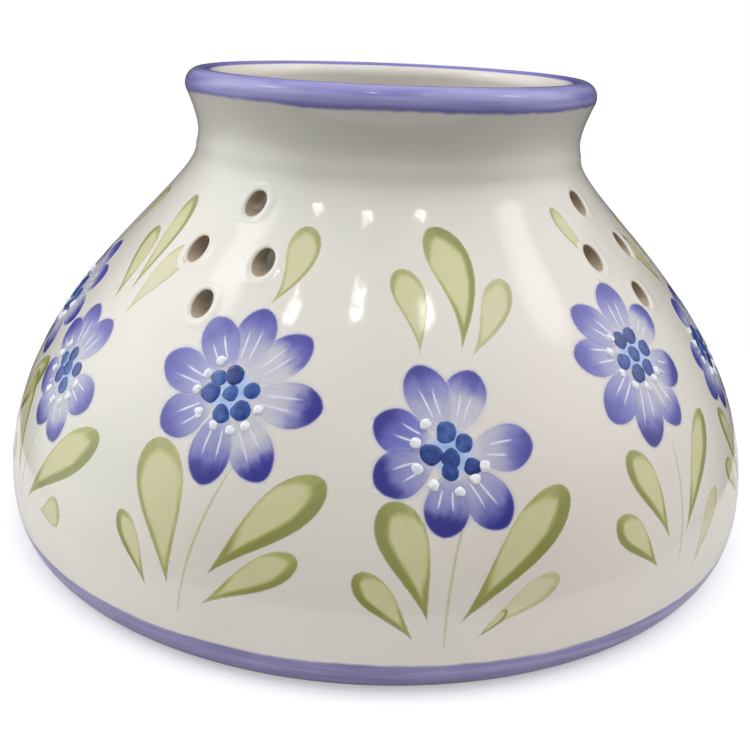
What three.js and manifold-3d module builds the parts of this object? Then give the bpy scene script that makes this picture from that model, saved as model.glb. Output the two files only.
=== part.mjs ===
// A glazed ceramic flower frog: a squat bellied pot with a narrow neck, pierced round the shoulder
// with clusters of stem holes. Millimetres, +Z up, origin at the centre of the foot on the table.
import * as THREE from "three";
import { mergeVertices } from "three/addons/utils/BufferGeometryUtils.js";
import Module from "manifold-3d";

// ---- Driving dimensions --------------------------------------------------------------------

// The pot's outside
const height = 90; // table to the crest of the rolled lip
const bellyRadius = 77.5; // widest point
const bellyHeight = 10; // height of the widest point
const footTuck = 4.5; // how far the flat foot's edge lies inside the belly
const neckRadius = 39; // narrowest point
const collarHeight = 15; // from the neck up to the crest of the lip

// Walls
const wall = 4; // thickness of the thrown wall, square to its surface
const floorThickness = 4.5;
const floorRecess = 1.5; // how far the floor's underside is lifted off the table
const footRingWidth = 6; // width of the flat ring that touches the table

// Rolled lip
const lipRoll = 3; // radius of the roll
const lipFlare = 1.9; // how far the roll's outer side stands out past the neck
const lipUndercut = THREE.MathUtils.degToRad(-23); // where the roll leaves the neck's flare

// Fullness of the outline, as the reach of its Bezier handles
const footFullness = 1.5;
const bellyDrop = 7.5;
const bellyRise = 33;
const shoulderRun = 8.2;
const neckRise = 1.9;
const flareRun = 8.9;

// Stem holes: clusters of four in a diamond, spaced evenly round the shoulder
const holeRadius = 2.1;
const holeClusters = 4;
const firstClusterAngle = THREE.MathUtils.degToRad(-32.5);
const clusterDrop = 14; // from the neck down to the diamond's two side holes
const diamondAbove = 8; // from the side holes up to the top hole
const diamondBelow = 7; // from the side holes down to the bottom hole
const diamondHalfWidth = 7.4; // from the diamond's centre line to each side hole, round the wall

// Smoothness of the solids
const turnSegments = 72;
const footSteps = 6; // straight pieces in each Bezier stretch of the outline
const shoulderSteps = 15;
const flareSteps = 5;
const lipSteps = 9;
const holeSegments = 16;

// ---- Derived sizes -------------------------------------------------------------------------

const footRadius = bellyRadius - footTuck;
const neckHeight = height - collarHeight;
const clusterHeight = neckHeight - clusterDrop;
const rollOutside = neckRadius + lipFlare;
const rollCentreRadius = rollOutside - lipRoll;
const rollCentreHeight = height - lipRoll;
const rimJointHeight = rollCentreHeight + lipRoll * Math.sin(lipUndercut);
const floorTop = floorRecess + floorThickness;
const footRingInside = footRadius - footRingWidth;

// ---- Outline -------------------------------------------------------------------------------

const point = (radius, z) => new THREE.Vector2(radius, z);

const bezier = (steps, ...controls) => ({ curve: new THREE.CubicBezierCurve(...controls), steps });

// The outside of the wall, from the table up to the joint under the rolled lip.
const foot = point(footRadius, 0);
const belly = point(bellyRadius, bellyHeight);
const neck = point(neckRadius, neckHeight);
const rimJoint = point(
  rollCentreRadius + lipRoll * Math.cos(lipUndercut),
  rimJointHeight,
);
const flareDirection = point(-Math.sin(lipUndercut), Math.cos(lipUndercut));
const outside = [
  bezier(
    footSteps,
    foot,
    point(footRadius + footFullness, 0),
    point(bellyRadius, bellyHeight - bellyDrop),
    belly,
  ),
  bezier(
    shoulderSteps,
    belly,
    point(bellyRadius, bellyHeight + bellyRise),
    point(neckRadius, neckHeight - shoulderRun),
    neck,
  ),
  bezier(
    flareSteps,
    neck,
    point(neckRadius, neckHeight + neckRise),
    rimJoint.clone().addScaledVector(flareDirection, -flareRun),
    rimJoint,
  ),
];

// Points along the outline, each moved inwards, square to the curve, by the given depth.
function outlinePoints(depth) {
  const points = [];
  outside.forEach(({ curve, steps }, index) => {
    const first = index === 0 ? 0 : 1;
    for (let step = first; step <= steps; step += 1) {
      const t = step / steps;
      const along = curve.getTangent(t);
      points.push(curve.getPoint(t).add(point(-along.y, along.x).multiplyScalar(depth)));
    }
  });
  return points;
}

// The outline's point at a height, found on its straight pieces. Past either end it keeps that end's radius.
function crossing(points, z) {
  const above = points.findIndex((p) => p.y >= z);
  if (above < 1) {
    return point(points.at(above).x, z);
  }
  const low = points[above - 1];
  const high = points[above];
  return low.clone().lerp(high, (z - low.y) / (high.y - low.y)).setY(z);
}

// The stretch of an outline between two heights, both ends included.
function stretch(points, lowZ, highZ) {
  const inner = points.filter((p) => p.y > lowZ && p.y < highZ);
  return [crossing(points, lowZ), ...inner, crossing(points, highZ)];
}

const outerWall = outlinePoints(0);
const innerWall = outlinePoints(wall);
const rimInside = point(rollCentreRadius - lipRoll, rimJointHeight);

// ---- Solids --------------------------------------------------------------------------------

// A closed outline in the radius-height plane, turned round the vertical axis.
function turned(points) {
  const closed = points[0].equals(points[points.length - 1]) || points[0].x === 0;
  const profile = closed ? points : [...points, points[0]];
  return new THREE.LatheGeometry(profile, turnSegments).rotateX(Math.PI / 2);
}

const wasm = await Module();
wasm.setup();

function toSolid(geometry) {
  const bare = new THREE.BufferGeometry();
  bare.setAttribute("position", geometry.getAttribute("position"));
  bare.setIndex(geometry.index);
  const merged = mergeVertices(bare, 1e-4);
  return new wasm.Manifold(
    new wasm.Mesh({
      numProp: 3,
      vertProperties: merged.getAttribute("position").array,
      triVerts: new Uint32Array(merged.index.array),
    }),
  );
}

function toGeometry(solid) {
  const mesh = solid.getMesh();
  const geometry = new THREE.BufferGeometry();
  geometry.setAttribute("position", new THREE.BufferAttribute(mesh.vertProperties, mesh.numProp));
  geometry.setIndex(new THREE.BufferAttribute(mesh.triVerts, 1));
  geometry.computeVertexNormals();
  return geometry;
}

// The wall from the floor up to the joint under the lip, before it is pierced.
function wallGeometry() {
  const inside = stretch(innerWall, floorTop, neckHeight);
  return turned([...stretch(outerWall, floorTop, rimJointHeight), rimInside, ...inside.reverse()]);
}

// Angle 0 faces the front, -Y, and grows towards +X.
function radial(angle, radius, z) {
  return new THREE.Vector3(radius * Math.sin(angle), -radius * Math.cos(angle), z);
}

// The four holes of one cluster, as an angle round the pot and a height.
function diamond(centreAngle) {
  const sideRadius = crossing(outerWall, clusterHeight).x;
  const sideAngle = diamondHalfWidth / sideRadius;
  return [
    { angle: centreAngle, z: clusterHeight + diamondAbove },
    { angle: centreAngle - sideAngle, z: clusterHeight },
    { angle: centreAngle + sideAngle, z: clusterHeight },
    { angle: centreAngle, z: clusterHeight - diamondBelow },
  ];
}

// A level drill pointing at the pot's axis, long enough to pass right through the slanted wall.
function drill({ angle, z }) {
  const outerEnd = crossing(outerWall, z - holeRadius).x + wall;
  const innerEnd = crossing(innerWall, z + holeRadius).x - wall;
  const length = outerEnd - innerEnd;
  const middle = radial(angle, (outerEnd + innerEnd) / 2, z);
  return new THREE.CylinderGeometry(holeRadius, holeRadius, length, holeSegments)
    .rotateZ(angle)
    .translate(middle.x, middle.y, middle.z);
}

function piercedWall() {
  let solid = toSolid(wallGeometry());
  for (let cluster = 0; cluster < holeClusters; cluster += 1) {
    const centreAngle = firstClusterAngle + (cluster * 2 * Math.PI) / holeClusters;
    for (const hole of diamond(centreAngle)) {
      solid = solid.subtract(toSolid(drill(hole)));
    }
  }
  return toGeometry(solid);
}

// The roll: round outside and over the crest, then straight down inside the mouth.
function rolledLip() {
  const points = [];
  for (let step = 0; step <= lipSteps; step += 1) {
    const angle = THREE.MathUtils.lerp(lipUndercut, Math.PI, step / lipSteps);
    points.push(
      point(rollCentreRadius + lipRoll * Math.cos(angle), rollCentreHeight + lipRoll * Math.sin(angle)),
    );
  }
  points.push(rimInside);
  return turned(points);
}

// The ring that the pot stands on, up to the height of the floor's top.
function footRing() {
  return turned([
    point(footRingInside, 0),
    ...stretch(outerWall, 0, floorTop),
    point(footRingInside, floorTop),
  ]);
}

// The floor that holds the water, lifted clear of the table inside the foot ring.
function floorDisc() {
  return turned([
    point(0, floorRecess),
    point(footRingInside, floorRecess),
    point(footRingInside, floorTop),
    point(0, floorTop),
  ]);
}

// ---- Finishes ------------------------------------------------------------------------------

const creamGlaze = () =>
  new THREE.MeshStandardMaterial({ color: 0xe2ded6, roughness: 0.12, metalness: 0 });
const lavenderGlaze = () =>
  new THREE.MeshStandardMaterial({ color: 0x8f89c4, roughness: 0.14, metalness: 0 });
const footGlaze = () =>
  new THREE.MeshStandardMaterial({ color: 0x827ca8, roughness: 0.16, metalness: 0 });

// ---- Assembly ------------------------------------------------------------------------------

const flowerFrog = new THREE.Group();

function addPiece(name, geometry, material) {
  const piece = new THREE.Mesh(geometry, material);
  piece.name = name;
  flowerFrog.add(piece);
}

addPiece("body_shell", piercedWall(), creamGlaze());
addPiece("rim_roll", rolledLip(), lavenderGlaze());
addPiece("foot_band", footRing(), footGlaze());
addPiece("floor_disc", floorDisc(), creamGlaze());

export default flowerFrog;
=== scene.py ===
"""A hand-painted ceramic flower frog: a glazed pot pierced for stems, with brushed flowers and leaves.

Lengths are in metres and MM turns millimetres into metres. The pot's axis is Z and its front faces -Y.
A place on the wall is an azimuth, 0 at the front and growing towards +X, and a distance along the
wall's outline, measured upwards from the joint between the foot and the wall.
"""
import math
from collections import namedtuple

import bpy
import numpy as np
from mathutils import Matrix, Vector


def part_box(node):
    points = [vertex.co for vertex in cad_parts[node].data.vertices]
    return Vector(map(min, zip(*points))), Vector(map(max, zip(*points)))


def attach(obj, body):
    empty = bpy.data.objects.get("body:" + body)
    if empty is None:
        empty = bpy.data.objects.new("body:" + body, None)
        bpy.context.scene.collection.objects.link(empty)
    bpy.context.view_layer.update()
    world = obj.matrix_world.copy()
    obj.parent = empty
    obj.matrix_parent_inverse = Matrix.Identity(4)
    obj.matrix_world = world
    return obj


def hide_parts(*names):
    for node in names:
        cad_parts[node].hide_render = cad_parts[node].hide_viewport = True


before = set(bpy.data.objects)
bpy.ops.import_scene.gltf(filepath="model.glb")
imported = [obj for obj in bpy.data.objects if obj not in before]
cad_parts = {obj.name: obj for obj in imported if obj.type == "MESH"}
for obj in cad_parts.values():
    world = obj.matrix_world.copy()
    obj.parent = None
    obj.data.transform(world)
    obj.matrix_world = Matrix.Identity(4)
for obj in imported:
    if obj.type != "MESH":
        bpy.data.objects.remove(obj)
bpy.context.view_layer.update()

rng = np.random.default_rng(7)
MM = 0.001
TURN = 2 * math.pi

# ---- Sizes ---------------------------------------------------------------------------------

wall_box, lip_box, foot_box, floor_box = (
    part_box(node) for node in ("body_shell", "rim_roll", "foot_band", "floor_disc")
)
HEIGHT = lip_box[1].z
BELLY_RADIUS = wall_box[1].x
LIP_RADIUS = lip_box[1].x
LIP_JOINT = lip_box[0].z
FOOT_JOINT = foot_box[1].z
FLOOR_RADIUS = floor_box[1].x
FLOOR_UNDERSIDE = floor_box[0].z
FLOOR_TOP = floor_box[1].z

WALL = 4 * MM
BELLY_HEIGHT = 10 * MM
FOOT_RADIUS = BELLY_RADIUS - 4.5 * MM
NECK_RADIUS = LIP_RADIUS - 1.9 * MM
NECK_HEIGHT = HEIGHT - 15 * MM
LIP_ROLL = 3 * MM
LIP_UNDERCUT = math.radians(-23)
MOUTH_RADIUS = LIP_RADIUS - 2 * LIP_ROLL

BORE_RADIUS = 1.98 * MM
CLUSTERS = 4
FIRST_CLUSTER = math.radians(-32.5)
CLUSTER_HEIGHT = NECK_HEIGHT - 14 * MM
DIAMOND_ABOVE = 8 * MM
DIAMOND_BELOW = 7 * MM
DIAMOND_HALF_WIDTH = 7.4 * MM

COLUMNS = 400  # round the pot
WALL_ROWS = 88
LINING_ROWS = 84
CURVE_POINTS = 400  # along each stretch of an outline
LIP_POINTS = 34  # round the rolled lip
FOOT_STEP = 14  # the foot's mesh keeps one of so many points of its curve
FLOOR_RINGS = 11
AZIMUTHS = np.linspace(0, TURN, COLUMNS, endpoint=False)

# ---- Outlines ------------------------------------------------------------------------------


def bezier(start, handle_a, handle_b, end):
    t = np.linspace(0, 1, CURVE_POINTS)[:, None]
    a, b, c, d = (np.array(p, float) for p in (start, handle_a, handle_b, end))
    return (1 - t) ** 3 * a + 3 * t * (1 - t) ** 2 * b + 3 * t * t * (1 - t) * c + t**3 * d


class Outline:
    """A line in the radius-height plane, measured along itself from the first point at a height."""

    def __init__(self, stretches, zero_height):
        points = np.vstack([stretches[0], *(s[1:] for s in stretches[1:])])
        self.radius, self.height = points.T
        self.along = np.concatenate([[0], np.cumsum(np.hypot(*np.diff(points, axis=0).T))])
        slope_r = np.gradient(self.radius, self.along)
        slope_z = np.gradient(self.height, self.along)
        size = np.hypot(slope_r, slope_z)
        self.out_r, self.out_z = slope_z / size, -slope_r / size
        self.along -= self.along[np.argmax(self.height >= zero_height)]

    def at(self, along):
        """Radius, height and the outward direction's two parts."""
        return tuple(
            np.interp(along, self.along, line)
            for line in (self.radius, self.height, self.out_r, self.out_z)
        )

    def radius_at_height(self, height):
        return np.interp(height, self.height, self.radius)

    def along_at_height(self, height):
        return np.interp(height, self.height, self.along)


roll_centre = np.array([LIP_RADIUS - LIP_ROLL, HEIGHT - LIP_ROLL])


def on_roll(angle):
    """The (radius, height) of a point on the rolled lip, with angle 0 pointing outwards."""
    return roll_centre + LIP_ROLL * np.array([math.cos(angle), math.sin(angle)])


belly = (BELLY_RADIUS, BELLY_HEIGHT)
neck = (NECK_RADIUS, NECK_HEIGHT)
lip_joint = on_roll(LIP_UNDERCUT)
flare = np.array([-math.sin(LIP_UNDERCUT), math.cos(LIP_UNDERCUT)])

# Each curve's two handles say how far it keeps the directions of its ends.
foot_curve = bezier(
    (FOOT_RADIUS, 0), (FOOT_RADIUS + 1.5 * MM, 0), (BELLY_RADIUS, BELLY_HEIGHT - 7.5 * MM), belly
)
shoulder_curve = bezier(
    belly, (BELLY_RADIUS, BELLY_HEIGHT + 33 * MM), (NECK_RADIUS, NECK_HEIGHT - 8.2 * MM), neck
)
flare_curve = bezier(neck, (NECK_RADIUS, NECK_HEIGHT + 1.9 * MM), lip_joint - 8.9 * MM * flare, lip_joint)
outside = Outline([foot_curve, shoulder_curve, flare_curve], FOOT_JOINT)
above_foot = np.stack([outside.radius, outside.height], axis=1)[outside.along >= 0]
outside_above_foot = Outline([above_foot], FOOT_JOINT)

# The lining: a fillet from the floor, the wall's thickness inside the outside, then up to the lip.
shoulder_only = Outline([shoulder_curve], BELLY_HEIGHT)
lining_curve = np.stack(
    [
        shoulder_only.radius - WALL * shoulder_only.out_r,
        shoulder_only.height - WALL * shoulder_only.out_z,
    ],
    axis=1,
)
lining_foot, lining_neck = lining_curve[0], lining_curve[-1]
mouth_joint = np.array([MOUTH_RADIUS, LIP_JOINT])
fillet_curve = bezier(
    (FLOOR_RADIUS, FLOOR_TOP), (FLOOR_RADIUS + 4 * MM, FLOOR_TOP), lining_foot - np.array([0, 3 * MM]),
    lining_foot,
)
throat_curve = bezier(
    lining_neck, lining_neck + np.array([0, 4 * MM]), mouth_joint - np.array([0, 4 * MM]), mouth_joint
)
lining = Outline([fillet_curve, lining_curve, throat_curve], FLOOR_TOP)

# ---- Meshes --------------------------------------------------------------------------------


def around(radius, azimuth, height):
    """Points at a radius, azimuth and height; the three broadcast together."""
    parts = np.broadcast_arrays(radius * np.sin(azimuth), -radius * np.cos(azimuth), height)
    return np.stack(parts, axis=-1)


class Skin:
    """Points and four-sided faces gathered for one piece."""

    def __init__(self):
        self.points = []
        self.faces = []
        self.count = 0

    def add(self, points):
        """Adds points of any shape (..., 3) and returns their numbers in the same shape."""
        shape = points.shape[:-1]
        self.points.append(points.reshape(-1, 3))
        numbers = self.count + np.arange(self.points[-1].shape[0]).reshape(shape)
        self.count += numbers.size
        return numbers

    def quads(self, numbers, keep=None):
        """Joins a grid of point numbers with faces, leaving out those where keep is false."""
        corners = [numbers[:-1, :-1], numbers[:-1, 1:], numbers[1:, 1:], numbers[1:, :-1]]
        made = np.stack(corners, axis=-1)
        self.faces.append(made.reshape(-1, 4) if keep is None else made[keep])
        return len(self.faces) - 1

    def all_points(self):
        return np.vstack(self.points)

    def normals(self, hidden=()):
        """Each point's direction outwards, from the faces round it except those in hidden groups."""
        points = self.all_points()
        total = np.zeros_like(points)
        for group, faces in enumerate(self.faces):
            if group in hidden:
                continue
            across = points[faces[:, 2]] - points[faces[:, 0]]
            up = points[faces[:, 3]] - points[faces[:, 1]]
            facing = np.cross(across, up)
            for corner in range(4):
                np.add.at(total, faces[:, corner], facing)
        size = np.linalg.norm(total, axis=1, keepdims=True)
        return total / np.where(size > 0, size, 1)


def closed_ring(numbers):
    """A grid of point numbers with its first column repeated at the end."""
    return np.concatenate([numbers, numbers[:, :1]], axis=1)


def new_object(name, data):
    made = bpy.data.objects.new(name, data)
    bpy.context.scene.collection.objects.link(made)
    return made


def make_piece(name, skin, normals, material, attributes=None):
    """A mesh object from a skin, with smooth shading along the given directions."""
    points = skin.all_points()
    faces = np.vstack(skin.faces)
    mesh = bpy.data.meshes.new(name)
    mesh.from_pydata(points.tolist(), [], [list(dict.fromkeys(f)) for f in faces.tolist()])
    mesh.update()
    mesh.shade_smooth()
    mesh.normals_split_custom_set_from_vertices(normals.tolist())
    for key, values in (attributes or {}).items():
        kind = "FLOAT_VECTOR" if values.ndim == 2 else "FLOAT"
        field = "vector" if values.ndim == 2 else "value"
        layer = mesh.attributes.new(key, kind, "POINT")
        layer.data.foreach_set(field, values.astype(np.float32).ravel())
    mesh.materials.append(material)
    return new_object(name, mesh)


def turned(name, profile, sharp, material):
    """A closed outline in the radius-height plane turned round Z.

    sharp maps a profile point's number to the direction that its shading keeps.
    """
    profile = np.array(profile, float)
    before, after = np.roll(profile, 1, axis=0), np.roll(profile, -1, axis=0)
    step = after - before
    out = np.stack([step[:, 1], -step[:, 0]], axis=1)
    for number, direction in sharp.items():
        out[number] = direction
    skin = Skin()
    numbers = skin.add(around(profile[:, :1], AZIMUTHS, profile[:, 1:]))
    skin.quads(closed_ring(np.concatenate([numbers, numbers[:1]])))
    normals = around(out[:, :1], AZIMUTHS, out[:, 1:]).reshape(-1, 3)
    normals /= np.linalg.norm(normals, axis=1, keepdims=True)
    return make_piece(name, skin, normals, material)


# ---- The pierced wall ----------------------------------------------------------------------

BLOCK_COLUMNS, BLOCK_ROWS = 12, 8  # the patch of the grid that each stem hole takes up
SPREAD_RINGS = 6  # rings between the patch's edge and the mouth of the bore
SPREAD_EASE = 1.6  # crowds those rings towards the bore
EDGE_RINGS = 5
EDGE_WIDTH = 0.6 * MM  # how far the glaze rounds the mouth's edge, along the wall and into the bore
BEAD_HEIGHT = 0.09 * MM  # the low bead of glaze that gathers round each hole
BEAD_PLACE, BEAD_WIDTH = 0.3 * MM, 0.8 * MM  # its crest's distance from the mouth's edge, and its width

Hole = namedtuple("Hole", "azimuth height")


def stem_holes():
    side_angle = DIAMOND_HALF_WIDTH / outside.radius_at_height(CLUSTER_HEIGHT)
    for cluster in range(CLUSTERS):
        middle = FIRST_CLUSTER + cluster * TURN / CLUSTERS
        yield Hole(middle, CLUSTER_HEIGHT + DIAMOND_ABOVE)
        yield Hole(middle - side_angle, CLUSTER_HEIGHT)
        yield Hole(middle + side_angle, CLUSTER_HEIGHT)
        yield Hole(middle, CLUSTER_HEIGHT - DIAMOND_BELOW)


class WallSide:
    """One side of the wall, as a grid of rows up the outline and columns round the pot."""

    def __init__(self, skin, outline, rows):
        self.outline = outline
        along = np.linspace(0, outline.along[-1], rows + 1)
        radius, self.height, self.out_r, self.out_z = outline.at(along)
        self.points = around(radius[:, None], AZIMUTHS, self.height[:, None])
        self.numbers = skin.add(self.points)
        self.keep = np.ones((rows, COLUMNS), bool)

    def patch_edge(self, hole):
        """The grid's (row, column) places round a hole's patch, counter-clockwise from outside."""
        column = round(hole.azimuth / TURN * COLUMNS)
        row = int(np.argmin(np.abs(self.height - hole.height)))
        left, right = column - BLOCK_COLUMNS // 2, column + BLOCK_COLUMNS // 2
        low, high = row - BLOCK_ROWS // 2, row + BLOCK_ROWS // 2
        self.keep[low:high, [c % COLUMNS for c in range(left, right)]] = False
        loop = [(low, c) for c in range(left, right)]
        loop += [(r, right) for r in range(low, high)]
        loop += [(high, c) for c in range(right, left, -1)]
        loop += [(r, left) for r in range(high, low, -1)]
        return [(r, c % COLUMNS) for r, c in loop]

    def project(self, hole, across, up, lift=0.0):
        """The point of this side that lies at (across, up) from a hole's centre, seen along its bore."""
        height = hole.height + up
        along = self.outline.along_at_height(height)
        radius, _, out_r, out_z = self.outline.at(along)
        radius = radius + lift * out_r
        depth = np.sqrt(radius**2 - across**2)
        a = hole.azimuth
        return np.stack(
            [
                depth * math.sin(a) + across * math.cos(a), -depth * math.cos(a) + across * math.sin(a),
                height + lift * out_z,
            ],
            axis=-1,
        )

    def rings(self, skin, hole, into_wall):
        """Rings of point numbers from the patch's edge to just inside the bore.

        into_wall is the direction from this side's mouth into the wall.
        """
        loop = self.patch_edge(hole)
        edge = np.array([self.numbers[r, c] for r, c in loop])
        places = np.array([self.points[r, c] for r, c in loop])
        a = hole.azimuth
        across = places[:, 0] * math.cos(a) + places[:, 1] * math.sin(a)
        up = places[:, 2] - hole.height
        angle = patch_angles()
        mouth = BORE_RADIUS + EDGE_WIDTH
        made = [edge]
        for ring in range(1, SPREAD_RINGS + 1):
            share = 1 - (1 - ring / SPREAD_RINGS) ** SPREAD_EASE
            t = across * (1 - share) + mouth * np.cos(angle) * share
            h = up * (1 - share) + mouth * np.sin(angle) * share
            gap = (np.hypot(t, h) - mouth - BEAD_PLACE) / BEAD_WIDTH
            made.append(skin.add(self.project(hole, t, h, BEAD_HEIGHT * np.exp(-(gap**2)))))
        start = skin.all_points()[made[-1]]
        corner = self.project(hole, BORE_RADIUS * np.cos(angle), BORE_RADIUS * np.sin(angle))
        end = corner + into_wall * EDGE_WIDTH
        for ring in range(1, EDGE_RINGS + 1):
            s = ring / EDGE_RINGS
            made.append(skin.add((1 - s) ** 2 * start + 2 * s * (1 - s) * corner + s * s * end))
        return made


def patch_angles():
    """The directions from a hole's centre to the points round its patch."""
    half_c, half_r = BLOCK_COLUMNS // 2, BLOCK_ROWS // 2
    places = [(c / half_c, -1) for c in range(-half_c, half_c)]
    places += [(1, r / half_r) for r in range(-half_r, half_r)]
    places += [(c / half_c, 1) for c in range(half_c, -half_c, -1)]
    places += [(-1, r / half_r) for r in range(half_r, -half_r, -1)]
    return np.unwrap([math.atan2(y, x) for x, y in places])


def make_wall(material):
    skin = Skin()
    bore_points = []
    front = WallSide(skin, outside_above_foot, WALL_ROWS)
    back = WallSide(skin, lining, LINING_ROWS)
    for hole in stem_holes():
        inwards = np.array([-math.sin(hole.azimuth), math.cos(hole.azimuth), 0])
        rings = front.rings(skin, hole, inwards)
        rings += back.rings(skin, hole, -inwards)[::-1]
        skin.quads(closed_ring(np.array(rings)))
        mouth = SPREAD_RINGS + EDGE_RINGS
        bore_points += [rings[mouth - 1], rings[mouth], rings[mouth + 1], rings[mouth + 2]]
    skin.quads(closed_ring(front.numbers), front.keep)
    skin.quads(closed_ring(back.numbers)[:, ::-1], back.keep[:, ::-1])
    hidden = [
        skin.quads(closed_ring(np.stack([back.numbers[0], front.numbers[0]]))),
        skin.quads(closed_ring(np.stack([front.numbers[-1], back.numbers[-1]]))),
    ]
    normals = skin.normals(hidden)
    for side, facing in ((front, 1), (back, -1)):
        for row in (0, -1):
            out = around(facing * side.out_r[row], AZIMUTHS, facing * side.out_z[row])
            normals[side.numbers[row]] = out
    # marks the points inside each stem hole, where the glaze's colour is darkened: bare clay and painted
    # shade
    bore = np.zeros(skin.count)
    bore[np.concatenate(bore_points)] = 1.0
    return make_piece("pierced_wall", skin, normals, material, {"bore": bore})


# ---- Lip, foot and floor -------------------------------------------------------------------


def make_lip(material):
    angles = np.linspace(LIP_UNDERCUT, math.pi, LIP_POINTS)
    roll = [tuple(on_roll(angle)) for angle in angles]
    profile = roll + [tuple(mouth_joint)]
    seam = (math.cos(LIP_UNDERCUT), math.sin(LIP_UNDERCUT))
    return turned("rolled_lip", profile, {0: seam, len(profile) - 1: (-1, 0)}, material)


def make_foot(material):
    """The painted foot: its flat ring on the table, and a small bevel round the recess."""
    bevel = 0.7 * MM
    outer = [(r, z) for r, z in foot_curve[::FOOT_STEP] if z < FOOT_JOINT - 0.1 * MM]
    joint = (outside.radius_at_height(FOOT_JOINT), FOOT_JOINT)
    inner = [
        (FLOOR_RADIUS, FOOT_JOINT), (FLOOR_RADIUS, bevel), (FLOOR_RADIUS + 0.25 * bevel, 0.25 * bevel),
        (FLOOR_RADIUS + bevel, 0),
    ]
    profile = inner + outer + [joint]
    _, _, out_r, out_z = outside.at(0.0)
    sharp = {0: (-1, 0), 1: (-1, 0), 3: (0, -1), len(profile) - 1: (out_r, out_z)}
    return turned("foot_ring", profile, sharp, material)


def make_floor(material):
    """A round slab with rings of points, so that its middle is not one fan of long slivers."""
    rings = np.linspace(0, 1, FLOOR_RINGS + 1)[1:] * FLOOR_RADIUS
    skin = Skin()
    under = skin.add(around(rings[:, None], AZIMUTHS, FLOOR_UNDERSIDE))
    top = skin.add(around(rings[:, None], AZIMUTHS, FLOOR_TOP))
    under_middle, top_middle = skin.add(np.array([[0, 0, FLOOR_UNDERSIDE], [0, 0, FLOOR_TOP]]))
    skin.quads(closed_ring(under))
    skin.quads(closed_ring(top[::-1]))
    skin.quads(closed_ring(np.stack([under[-1], top[-1]])))
    skin.quads(closed_ring(np.stack([np.full(COLUMNS, under_middle), under[0]])))
    skin.quads(closed_ring(np.stack([top[0], np.full(COLUMNS, top_middle)])))
    up = np.zeros((skin.count, 3))
    up[:, 2] = np.where(skin.all_points()[:, 2] > (FLOOR_UNDERSIDE + FLOOR_TOP) / 2, 1, -1)
    return make_piece("pot_floor", skin, up, material)


# ---- Finishes ------------------------------------------------------------------------------


def srgb(red, green, blue):
    """A colour from its everyday 0 to 255 values."""
    shares = [v / 255 for v in (red, green, blue)]
    linear = [s / 12.92 if s <= 0.04045 else ((s + 0.055) / 1.055) ** 2.4 for s in shares]
    return (*linear, 1.0)


def arithmetic(operation, swapped=False):
    """A method that makes one Math node; swapped puts the other value first."""

    def method(self, other):
        operands = (other, self) if swapped else (self, other)
        return self.recipe.node("Math", {"operation": operation}, dict(enumerate(operands)))

    return method


class Wire:
    """A socket's output that can be used in arithmetic; each sum adds its Math node."""

    def __init__(self, recipe, socket):
        self.recipe = recipe
        self.socket = socket

    __add__ = arithmetic("ADD")
    __sub__ = arithmetic("SUBTRACT")
    __rsub__ = arithmetic("SUBTRACT", swapped=True)
    __mul__ = arithmetic("MULTIPLY")
    __truediv__ = arithmetic("DIVIDE")

    def other(self, output):
        """Another output of the same node."""
        return Wire(self.recipe, self.socket.node.outputs[output])

    def smooth(self, low, high):
        """0 below low and 1 above high, with a smooth step between them; low may be the larger."""
        settings = {"interpolation_type": "SMOOTHSTEP"}
        ends = (0.0, 1.0)
        if low > high:
            low, high, ends = high, low, (1.0, 0.0)
        inputs = {"Value": self, "From Min": low, "From Max": high, "To Min": ends[0], "To Max": ends[1]}
        return self.recipe.node("MapRange", settings, inputs)


class Recipe:
    """The nodes of one material, or of the surroundings when their own data block is given."""

    def __init__(self, name, block=None):
        self.block = block or bpy.data.materials.new(name)
        self.block.use_nodes = True
        self.tree = self.block.node_tree
        self.tree.nodes.clear()

    def node(self, kind, settings=None, inputs=None, output=0):
        """One node: its settings are set first, then the values or links of its sockets."""
        made = self.tree.nodes.new("ShaderNode" + kind)
        for key, value in (settings or {}).items():
            if key == "stops":
                self.fill_ramp(made.color_ramp, value)
            else:
                setattr(made, key, value)
        for key, value in (inputs or {}).items():
            if isinstance(value, Wire):
                self.tree.links.new(value.socket, made.inputs[key])
            else:
                made.inputs[key].default_value = value
        return Wire(self, made.outputs[output]) if made.outputs else None

    @staticmethod
    def fill_ramp(ramp, stops):
        while len(ramp.elements) < len(stops):
            ramp.elements.new(1.0)
        for element, (place, colour) in zip(ramp.elements, stops):
            element.position = place
            element.color = colour

    def mix(self, first, second, share):
        """A colour that goes from first to second."""
        inputs = {0: share, 6: first, 7: second}
        return self.node("Mix", {"data_type": "RGBA"}, inputs, output=2)

    def ramp(self, value, stops):
        return self.node("ValToRGB", {"stops": stops}, {"Fac": value})

    def place(self):
        return self.node("TexCoord", output=3)

    def attribute(self, name, vector=False):
        return self.node("Attribute", {"attribute_name": name}, output=1 if vector else 2)

    def stretched(self, vector, factors):
        return self.node("VectorMath", {"operation": "MULTIPLY"}, {0: vector, 1: factors})

    def length(self, vector):
        return self.node("VectorMath", {"operation": "LENGTH"}, {0: vector}, output=1)

    def part(self, vector, axis):
        """One of a vector's three parts, counted from 0."""
        return self.node("SeparateXYZ", None, {"Vector": vector}, output=axis)

    def noise(self, vector, scale, detail=2.0, roughness=0.5):
        inputs = {"Vector": vector, "Scale": scale, "Detail": detail, "Roughness": roughness}
        return self.node("TexNoise", None, inputs)

    def finish(self, **inputs):
        """Ends the material in one Principled shader and returns the material."""
        named = {key.replace("_", " "): value for key, value in inputs.items()}
        shader = self.node("BsdfPrincipled", None, named)
        self.node("OutputMaterial", None, {"Surface": shader})
        return self.block


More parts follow.
